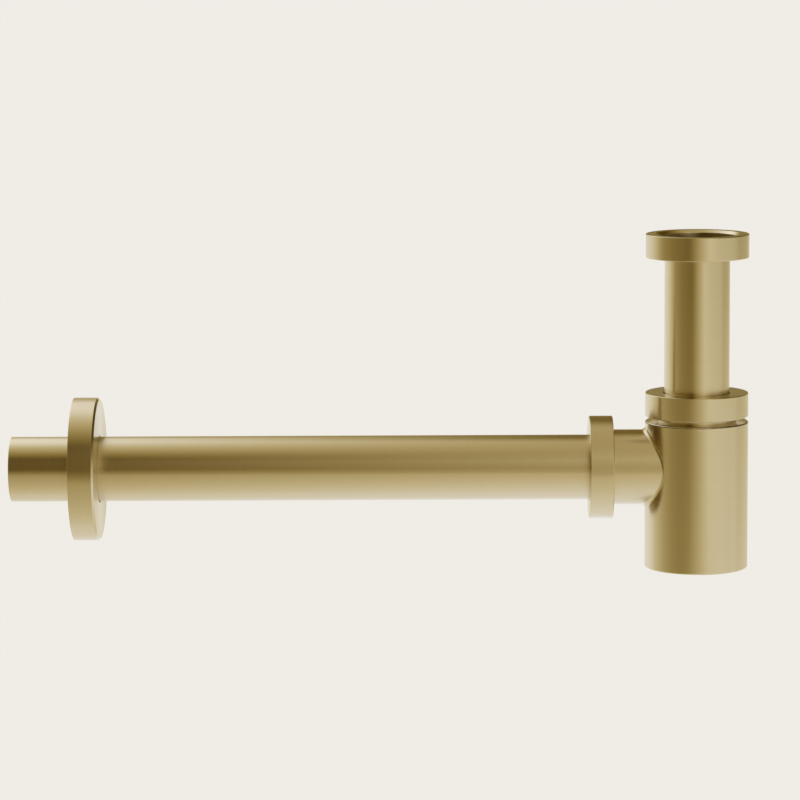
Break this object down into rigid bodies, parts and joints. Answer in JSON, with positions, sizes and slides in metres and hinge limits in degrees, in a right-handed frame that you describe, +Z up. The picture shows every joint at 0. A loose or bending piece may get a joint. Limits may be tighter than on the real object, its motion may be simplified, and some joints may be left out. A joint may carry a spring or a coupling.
{
  "type": "bottle trap",
  "caption": "Round brushed brass bottle trap: union nut inlet with dip tube, closed bottle with side outlet, clamped wall tube and a sliding round wall flange.",
  "frame": {"origin": "centre of the inlet thread on the top face of the inlet washer, where the basin waste seats", "axes": "+Z up along the inlet; -X along the outlet towards the wall"},
  "size_m": [0.3636, 0.0706, 0.165],
  "materials": {
    "brushed_brass": "satin, finely brushed",
    "seal_rubber": "matte",
    "slip_plastic": "matte"
  },
  "bodies": {
    "union": {"inlet_nut": "brushed_brass", "inlet_washer": "seal_rubber"},
    "inlet_tube": {"inlet_tube": "brushed_brass"},
    "bottle": {"bottle": "brushed_brass", "cap_cone_seal": "seal_rubber", "outlet_cone_seal": "seal_rubber"},
    "cap_ring": {"cap_slip_ring": "slip_plastic"},
    "cap_nut": {"cap_nut": "brushed_brass"},
    "outlet_ring": {"outlet_slip_ring": "slip_plastic"},
    "outlet_nut": {"outlet_nut": "brushed_brass"},
    "wall_tube": {"wall_tube": "brushed_brass"},
    "wall_flange": {"wall_flange": "brushed_brass", "flange_grip_ring": "seal_rubber"}
  },
  "joints": [
    {"name": "trap_swivel", "type": "hinge", "parent": "union", "child": "inlet_tube", "pos_m": [0, 0, 0], "axis": [0, 0, 1], "continuous": true},
    {"name": "height_slide", "type": "slide", "parent": "inlet_tube", "child": "bottle", "axis": [0, 0, 1], "range_m": [-0.015, 0.004]},
    {"name": "cap_ring_travel", "type": "slide", "parent": "bottle", "child": "cap_ring", "axis": [0, 0, 1], "range_m": [0, 0.00577]},
    {"name": "cap_nut_turn", "type": "hinge", "parent": "cap_ring", "child": "cap_nut", "pos_m": [0, 0, -0.0776], "axis": [0, 0, 1], "range_deg": [0, 900]},
    {"name": "outlet_ring_travel", "type": "slide", "parent": "bottle", "child": "outlet_ring", "axis": [-1, 0, 0], "range_m": [0, 0.00577]},
    {"name": "outlet_nut_turn", "type": "hinge", "parent": "outlet_ring", "child": "outlet_nut", "pos_m": [-0.0472, 0, -0.1088], "axis": [-1, 0, 0], "range_deg": [0, 900]},
    {"name": "wall_tube_slide", "type": "slide", "parent": "bottle", "child": "wall_tube", "axis": [1, 0, 0], "range_m": [-0.003, 0.008]},
    {"name": "wall_flange_slide", "type": "slide", "parent": "wall_tube", "child": "wall_flange", "axis": [1, 0, 0], "range_m": [-0.0312, 0.225]}
  ],
  "couplings": [
    {"joint": "cap_ring_travel", "follows": "cap_nut_turn", "m_per_rad": 0.0003675},
    {"joint": "outlet_ring_travel", "follows": "outlet_nut_turn", "m_per_rad": 0.0003675}
  ]
}
